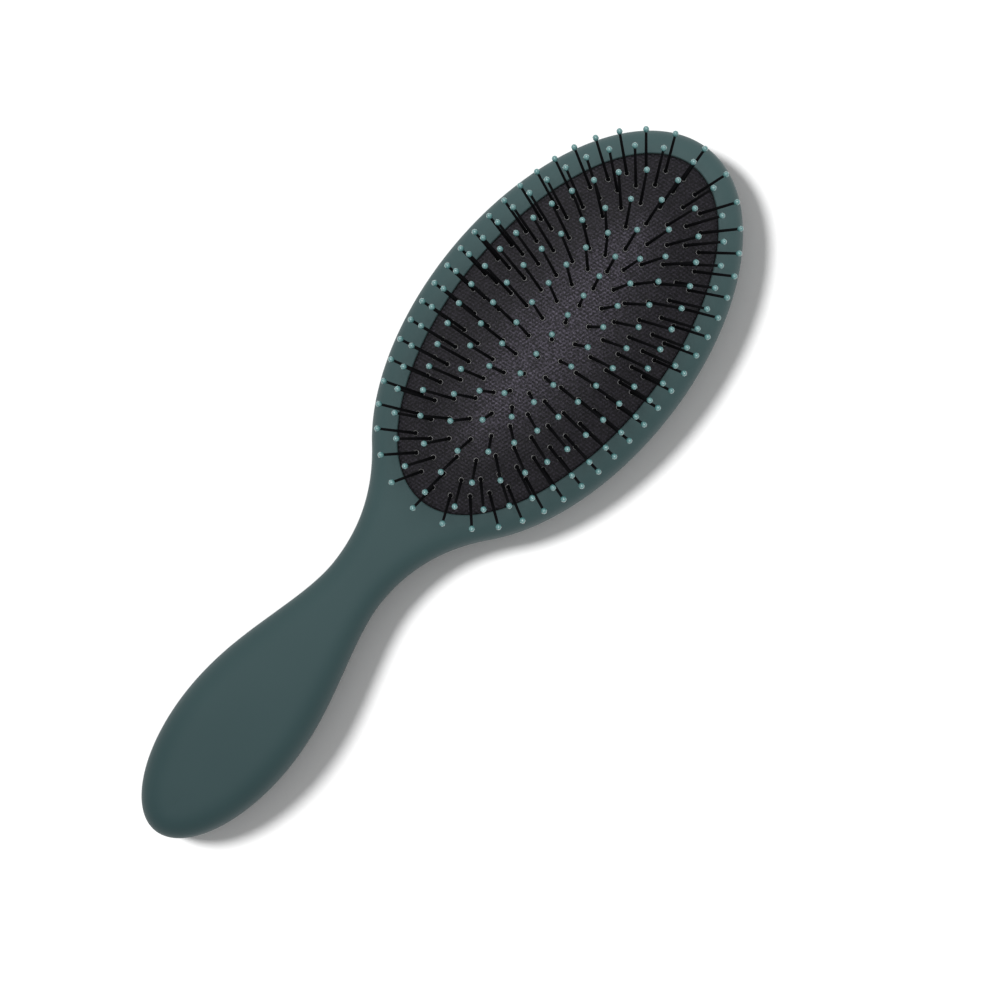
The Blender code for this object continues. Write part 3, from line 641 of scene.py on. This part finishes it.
def row_feet():
    """Places of the middle row's pins."""
    reach = OVAL_LENGTH_SHARES[0] * PAD_HALF_LENGTH
    y = np.linspace(reach, -reach, CENTRE_PIN_COUNT)
    return np.stack((0 * y, y), 1), skin_height(PIN_HALF_WIDTH / PAD_HALF_WIDTH), PIN_LENGTH


def turned_mesh(name, feet, height, axis, profile):
    """One turned shape on each foot, along its axis, from distances and radii.

    Each ring is a circle of eight corners round the axis, and three four-cornered
    faces close either end.
    """
    distance, radius = np.array(profile).T
    side = np.cross(axis, (0.0, 1.0, 0.0))
    side /= np.linalg.norm(side, axis=1, keepdims=True)
    other = np.cross(axis, side)
    angle = (np.arange(PIN_SIDES) * math.tau / PIN_SIDES)[None, :, None]
    spoke = side[:, None, :] * np.cos(angle) + other[:, None, :] * np.sin(angle)
    foot = np.concatenate((feet + (0.0, HEAD_Y), np.full((len(feet), 1), height)), 1)
    levels = foot[:, None, :] + axis[:, None, :] * distance[None, :, None]
    points = levels[:, :, None, :] + spoke[:, None, :, :] * radius[None, :, None, None]
    faces = grid_faces(len(distance), PIN_SIDES, False, True).reshape(-1, 4)
    cap = np.array(((0, 3, 2, 1), (0, 7, 4, 3), (4, 7, 6, 5)))
    top = cap[:, ::-1] + (len(distance) - 1) * PIN_SIDES
    one = np.concatenate((faces, cap, top))
    each = len(distance) * PIN_SIDES
    every = (one[None, :, :] + each * np.arange(len(feet))[:, None, None]).reshape(-1, 4)
    return mesh_of(name, points.reshape(-1, 3), every)


def linear(red, green, blue):
    """A colour on the 0 to 255 scale of a screen, as the linear values that nodes take.

    Below a small value it is a straight line, and above it a power of 2.4.
    """
    values = np.array((red, green, blue)) / 255
    low = values / 12.92
    high = ((values + 0.055) / 1.055) ** 2.4
    return (*np.where(values <= 0.04045, low, high), 1.0)


class Finish:
    """A material in the making: each call adds one node and returns its output."""

    def __init__(self, name, roughness, **settings):
        self.material = bpy.data.materials.new(name)
        self.material.use_nodes = True
        self.tree = self.material.node_tree
        self.shader = self.tree.nodes["Principled BSDF"]
        self.shader.inputs["Roughness"].default_value = roughness
        for socket, value in settings.items():
            self.shader.inputs[socket.replace("_", " ")].default_value = value
        self.place = self.add("ShaderNodeTexCoord").outputs["Object"]

    def add(self, kind, inputs=(), **settings):
        """A new node of a kind, with its settings made and its inputs joined or set."""
        node = self.tree.nodes.new(kind)
        for name, value in settings.items():
            setattr(node, name, value)
        for socket, value in dict(inputs).items():
            self.set(node.inputs[socket], value)
        return node

    def set(self, socket, value):
        """Join an output to a socket, or give the socket a plain value."""
        if isinstance(value, bpy.types.NodeSocket):
            self.tree.links.new(value, socket)
        else:
            socket.default_value = value

    def maths(self, operation, first, second=0.0):
        """One step of arithmetic."""
        return self.add("ShaderNodeMath", {0: first, 1: second}, operation=operation).outputs[0]

    def noise(self, scale, detail=2.0):
        """Smooth noise through space, finer as the scale grows."""
        inputs = {"Vector": self.place, "Scale": scale, "Detail": detail}
        return self.add("ShaderNodeTexNoise", inputs).outputs["Fac"]

    def spread(self, value, low, high, to_low=0.0, to_high=1.0):
        """A value moved in proportion from one range into another, and kept inside it."""
        ends = {"Value": value, "From Min": low, "From Max": high, "To Min": to_low, "To Max": to_high}
        return self.add("ShaderNodeMapRange", ends).outputs["Result"]

    def mix(self, share, first, second):
        """A colour at a share of the way from one to another."""
        node = self.add("ShaderNodeMix", data_type="RGBA")
        self.set(node.inputs["Factor"], share)
        colours = [socket for socket in node.inputs if socket.type == "RGBA"]
        self.set(colours[0], first)
        self.set(colours[1], second)
        return [socket for socket in node.outputs if socket.type == "RGBA"][0]

    def paint(self, colour):
        """Give the surface its colour."""
        self.set(self.shader.inputs["Base Color"], colour)

    def bump(self, height, distance):
        """Shade the surface as if a height of 1 stood out by a distance."""
        ends = {"Height": height, "Distance": distance, "Strength": 1.0}
        self.set(self.shader.inputs["Normal"], self.add("ShaderNodeBump", ends).outputs["Normal"])


def soft_touch(name):
    """Matt rubbery coat over plastic: drifts of shade, a painted shade darker to the grip's end, and a
    fine grain.
    """
    finish = Finish(
        name,
        SOFT_ROUGHNESS,
        Sheen_Weight=SOFT_SHEEN,
        Sheen_Roughness=SOFT_SHEEN_ROUGHNESS,
        Specular_IOR_Level=SOFT_SPECULAR,
    )
    along = finish.add("ShaderNodeSeparateXYZ", {"Vector": finish.place}).outputs["Y"]
    # Painted shade: the colour darkens from the head to the grip's end, standing in for light that falls
    # off along the brush
    painted_shade_to_end = finish.spread(along, HALF_LENGTH, -HALF_LENGTH, 0.0, SOFT_PAINTED_SHADE_AT_END)
    drift = finish.spread(finish.noise(SOFT_DRIFT_SCALE), NOISE_LOW, NOISE_HIGH, -SOFT_DRIFT, SOFT_DRIFT)
    share = finish.maths("ADD", painted_shade_to_end, drift)
    finish.paint(finish.mix(share, linear(*SOFT_LIGHT), linear(*SOFT_DARK)))
    finish.bump(finish.noise(SOFT_GRAIN_SCALE, SOFT_GRAIN_DETAIL), SOFT_GRAIN_DEPTH)
    return finish.material


def cushion_rubber(name):
    """Charcoal rubber, half glossy, with close rows of short raised dashes and a fine crinkle.

    The dashes are a cosine along the row times a cosine across it. The raised spots
    are paler by the square of their height, as wear, and much paler on the crown,
    which is a painted sheen.
    """
    finish = Finish(name, RUBBER_ROUGHNESS, Specular_IOR_Level=RUBBER_SPECULAR)
    rows = {"Vector": finish.place, "Rotation": (0.0, 0.0, ROWS_TURN)}
    turned = finish.add("ShaderNodeMapping", rows)
    parts = finish.add("ShaderNodeSeparateXYZ", {"Vector": turned.outputs[0]})
    waves = []
    for axis, pitch in (("X", DASH_PITCH), ("Y", ROW_PITCH)):
        phase = finish.maths("MULTIPLY", parts.outputs[axis], math.pi / pitch)
        waves.append(finish.maths("COSINE", phase))
    dashes = finish.spread(finish.maths("MULTIPLY", *waves), -DASH_REACH, DASH_REACH)
    crinkle = finish.spread(finish.noise(CRINKLE_SCALE, CRINKLE_DETAIL), CRINKLE_LOW, CRINKLE_HIGH)
    dashes = finish.maths("MULTIPLY", dashes, DASH_SHARE)
    crinkle = finish.maths("MULTIPLY", crinkle, CRINKLE_SHARE)
    height = finish.maths("ADD", dashes, crinkle)
    # Painted sheen: the raised spots are made paler towards the cushion's crown, by their height at rest
    rise = finish.add("ShaderNodeAttribute", attribute_name="height_at_rest").outputs["Fac"]
    upper = finish.spread(rise, SKIN_EDGE + CUSHION_CROWN / 2, SKIN_EDGE + CUSHION_CROWN)
    upper = finish.maths("POWER", upper, PAINTED_SHEEN_POWER)
    crown = finish.spread(upper, 0.0, 1.0, WEAR_AND_SHEEN_AT_EDGE, WEAR_AND_SHEEN_AT_CROWN)
    wear_and_painted_sheen = finish.maths("MULTIPLY", finish.maths("MULTIPLY", height, height), crown)
    finish.paint(finish.mix(wear_and_painted_sheen, linear(*RUBBER_DARK), linear(*RUBBER_WEAR_AND_SHEEN)))
    finish.bump(height, RUBBER_RELIEF)
    return finish.material


def moulded(name, colour, roughness, **settings):
    """Moulded plastic in one colour with a faint mould grain."""
    finish = Finish(name, roughness, **settings)
    drift = finish.spread(finish.noise(MOULD_DRIFT_SCALE), NOISE_LOW, NOISE_HIGH)
    darker = [value * MOULD_DARK_SHARE for value in colour[:3]] + [1.0]
    finish.paint(finish.mix(drift, darker, colour))
    finish.bump(finish.noise(MOULD_GRAIN_SCALE), MOULD_GRAIN_DEPTH)
    return finish.material


SOFT_FRONT = soft_touch("soft_touch_front")
SOFT_BACK = soft_touch("soft_touch_back")
RUBBER = cushion_rubber("cushion_rubber")
TRAY_PLASTIC = moulded("tray_plastic", linear(42, 43, 46), roughness=0.5)
PIN_NYLON = moulded("pin_nylon", linear(7, 7, 9), roughness=0.7, Specular_IOR_Level=0.05)
TIP_NYLON = moulded(
    "ball_tip",
    linear(84, 136, 136),
    roughness=0.2,
    Specular_IOR_Level=0.6,
    Coat_Weight=0.8,
    Coat_Roughness=0.05,
)
EYELET_RUBBER = moulded("eyelet_rubber", linear(12, 12, 14), roughness=0.2, Specular_IOR_Level=0.8)


def dress_shells():
    """Fine front and back shells in place of the solids' plainer ones."""
    outer, inner, spine, opening_end = stations()
    sections, inner_edge = front_sections(outer, inner)
    mesh = shell_mesh("front_cover", sections, inner_edge, opening_end)
    front = make_piece("front_cover", mesh, SOFT_FRONT)
    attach(front, "root")
    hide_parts("front_shell")
    sections, on_axis = back_sections(outer, spine)
    mesh = shell_mesh("back_cover", sections, on_axis, 0)
    back = make_piece("back_cover", mesh, SOFT_BACK)
    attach(back, "root")
    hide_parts("back_shell")


def flat_row(row, normal, move=0.0, height=None):
    """A row of the cushion's wall, moved level outwards or put at one height, with one normal.

    Points less than a millimetre from the centre move by less than the others.
    """
    points = row.copy()
    centre = np.array((0.0, HEAD_Y, 0.0))
    level = (points - centre) * (1, 1, 0)
    points += level / np.maximum(np.linalg.norm(level, axis=1, keepdims=True), MM) * move
    if height is not None:
        points[:, 2] = height
    return points, np.broadcast_to(np.array(normal, float), points.shape)


def dress_cushion():
    """The domed rubber skin, as bands that each lie between the pins of two neighbouring bodies.

    The outermost band also has the skin's drawn-in side and its flange.
    """
    rows, places = skin_rows()
    points, normals = skin_surface(rows)
    up = (0.0, 0.0, 1.0)
    down = (0.0, 0.0, -1.0)
    drop = np.array((0.0, 0.0, -SKIN_THICKNESS))
    rings = range(1, len(RING_PIN_COUNTS) + 1)
    bodies = ["slice_centre", *(f"slice_{ring}" for ring in rings), "root"]
    nodes = ["pin_row", *(f"pin_ring_{ring}" for ring in rings), "cushion_edge"]
    for band in range(len(bodies) - 1):
        first = places[band]
        last = places[band + 1]
        top = [(points[row], normals[row]) for row in range(first, last + 1)]
        under = [flat_row(points[row] + drop, down) for row in range(last, first - 1, -1)]
        low = skin_height(rows[last])
        if bodies[band + 1] == "root":
            edge = points[last]
            inside = int(np.searchsorted(rows, FLANGE_ROOT_SHARE))
            flange_out = SEAM_GAP + FLANGE_REACH
            top += [
                flat_row(edge, up, EDGE_CORNER_OUT, low - EDGE_CORNER_DROP),
                flat_row(edge, up, -EDGE_DRAW_IN / 3, (low + FLANGE_TOP) / 2),
                flat_row(edge, up, -EDGE_DRAW_IN, FLANGE_TOP),
                flat_row(edge, up, flange_out, FLANGE_TOP),
                flat_row(edge, down, flange_out, FLANGE_BOTTOM),
                flat_row(points[inside], down, 0.0, FLANGE_BOTTOM),
            ]
            under = [flat_row(points[row] + drop, down) for row in range(inside, first - 1, -1)]
        name = f"cushion_skin_{band}"
        mesh = skin_band_mesh(name, top + under, band == 0)
        piece = make_piece(name, mesh, RUBBER)
        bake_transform(piece)
        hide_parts(nodes[band], nodes[band + 1])


def dress_pins():
    """Shafts, ball tips and eyelets of the middle row of pins and of each ring.

    The eyelets lean less than their pins, as they sit on the skin.
    """
    for ring in range(-1, len(RING_PIN_COUNTS)):
        feet, height, length = row_feet() if ring < 0 else ring_feet(ring)
        number = "row" if ring < 0 else f"ring_{ring + 1}"
        body = "slice_centre" if ring < 0 else f"slice_{ring + 1}"
        bead_start = length - BEAD_LENGTH
        axis = pin_axes(feet[:, 0], feet[:, 1])
        shaft = [(distance * MM, radius * MM) for distance, radius in SHAFT_PROFILE]
        shaft.append((bead_start + BEAD_LENGTH / 3, SHAFT_TOP_RADIUS))
        tip = [(bead_start + distance * MM, radius * MM) for distance, radius in TIP_PROFILE]
        eyelet = [(distance * MM, radius * MM) for distance, radius in EYELET_PROFILE]
        upright = axis * (EYELET_LEAN_SHARE, EYELET_LEAN_SHARE, 1.0)
        upright /= np.linalg.norm(upright, axis=1, keepdims=True)
        parts = (
            ("pins", axis, shaft, PIN_NYLON),
            ("tips", axis, tip, TIP_NYLON),
            ("eyelets", upright, eyelet, EYELET_RUBBER),
        )
        for part, along, profile, finish in parts:
            name = f"{part}_{number}"
            piece = make_piece(name, turned_mesh(name, feet, height, along, profile), finish)
            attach(piece, body)
            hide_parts(f"pin_{number}")


def dress_tray():
    """The hidden tray keeps its solid and gets its own finish."""
    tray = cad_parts["cushion_tray"]
    tray.data.materials.clear()
    tray.data.materials.append(TRAY_PLASTIC)


def ray_is_seen(tree):
    """1 for what the camera sees, straight or in a reflection or through glass."""
    path = tree.nodes.new("ShaderNodeLightPath")
    value = path.outputs["Is Camera Ray"]
    for name in ("Is Glossy Ray", "Is Transmission Ray"):
        either = tree.nodes.new("ShaderNodeMath")
        either.operation = "MAXIMUM"
        tree.links.new(value, either.inputs[0])
        tree.links.new(path.outputs[name], either.inputs[1])
        value = either.outputs[0]
    return value


def make_stage():
    """Plain floor that keeps the shadow: white where it is seen, pale grey to bounced light."""
    mesh = bpy.data.meshes.new("floor")
    turns = ((-1, -1), (1, -1), (1, 1), (-1, 1))
    corners = [(FLOOR_REACH * x, FLOOR_REACH * y, 0) for x, y in turns]
    mesh.from_pydata(corners, [], [(0, 1, 2, 3)])
    material = bpy.data.materials.new("floor_white")
    material.use_nodes = True
    tree = material.node_tree
    shader = tree.nodes["Principled BSDF"]
    shader.inputs["Roughness"].default_value = 1.0
    shader.inputs["Specular IOR Level"].default_value = 0.0
    colour = tree.nodes.new("ShaderNodeMix")
    colour.data_type = "RGBA"
    tree.links.new(ray_is_seen(tree), colour.inputs["Factor"])
    ends = [socket for socket in colour.inputs if socket.type == "RGBA"]
    ends[0].default_value = FLOOR_GREY
    ends[1].default_value = WHITE
    result = [socket for socket in colour.outputs if socket.type == "RGBA"][0]
    tree.links.new(result, shader.inputs["Base Color"])
    mesh.materials.append(material)
    floor = bpy.data.objects.new("floor", mesh)
    bpy.context.scene.collection.objects.link(floor)
    floor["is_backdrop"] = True
    return floor


def group(name, members):
    """A collection that says which objects a lamp lights or is shaded by."""
    collection = bpy.data.collections.new(name)
    for member in members:
        collection.objects.link(member)
    return collection


def make_lamp(name, kind, energy, place, aim, lit, blockers=None):
    """A lamp at a place, turned to shine at a point, that lights one group of objects.

    Where a second group is given, only that one shades it.
    """
    lamp = bpy.data.lights.new(name, kind)
    lamp.energy = energy
    holder = bpy.data.objects.new(name, lamp)
    holder.location = place
    holder.rotation_mode = "QUATERNION"
    holder.rotation_quaternion = (Vector(aim) - Vector(place)).to_track_quat("-Z", "Y")
    bpy.context.scene.collection.objects.link(holder)
    holder.light_linking.receiver_collection = lit
    if blockers:
        holder.light_linking.blocker_collection = blockers
    return lamp


def light_stage(floor):
    """A window to the left of the view, light from overhead, and an even pale sky.

    The floor has a lamp of its own, which only the shells and the skin shade, so the
    thin pins leave no shadow there. The sky is white where it is seen.
    """
    brush = group("lit_brush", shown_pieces())
    stage = group("lit_floor", [floor])
    broad = [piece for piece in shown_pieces() if "cover" in piece.name or "skin" in piece.name]
    shades = group("shades_floor", broad)
    window = make_lamp("window_light", "AREA", WINDOW_POWER, WINDOW_PLACE, WINDOW_AIM, brush)
    window.size = WINDOW_SIZE
    overhead = make_lamp("overhead_light", "SUN", OVERHEAD_STRENGTH, OVERHEAD_PLACE, OVERHEAD_AIM, brush)
    overhead.angle = OVERHEAD_ANGLE
    sun = make_lamp(
        "floor_light", "SUN", FLOOR_LIGHT_STRENGTH, FLOOR_LIGHT_PLACE, FLOOR_LIGHT_AIM, stage, shades
    )
    sun.angle = FLOOR_LIGHT_ANGLE
    world = bpy.data.worlds.new("studio")
    world.use_nodes = True
    tree = world.node_tree
    ground = tree.nodes["Background"]
    ground.inputs["Color"].default_value = WHITE
    strength = tree.nodes.new("ShaderNodeMapRange")
    tree.links.new(ray_is_seen(tree), strength.inputs["Value"])
    strength.inputs["To Min"].default_value = SKY_STRENGTH
    strength.inputs["To Max"].default_value = 1.0
    tree.links.new(strength.outputs["Result"], ground.inputs["Strength"])
    bpy.context.scene.world = world


def make_camera():
    """Camera nearly straight above, turned so that the brush lies aslant."""
    place = Vector(CAMERA_PLACE) * MM
    aim = Vector(CAMERA_AIM) * MM
    back = (place - aim).normalized()
    right = Vector((math.cos(CAMERA_TURN), math.sin(CAMERA_TURN), 0.0))
    up = back.cross(right).normalized()
    right = up.cross(back)
    camera = bpy.data.cameras.new("camera")
    camera.lens = CAMERA_LENS
    camera.sensor_width = CAMERA_SENSOR
    holder = bpy.data.objects.new("camera", camera)
    turned = Matrix((right, up, back)).transposed().to_4x4()
    holder.matrix_world = Matrix.Translation(place) @ turned
    bpy.context.scene.collection.objects.link(holder)
    bpy.context.scene.camera = holder


make_camera()
dress_shells()
dress_cushion()
dress_pins()
dress_tray()
light_stage(make_stage())
bpy.context.scene.view_settings.view_transform = "Standard"
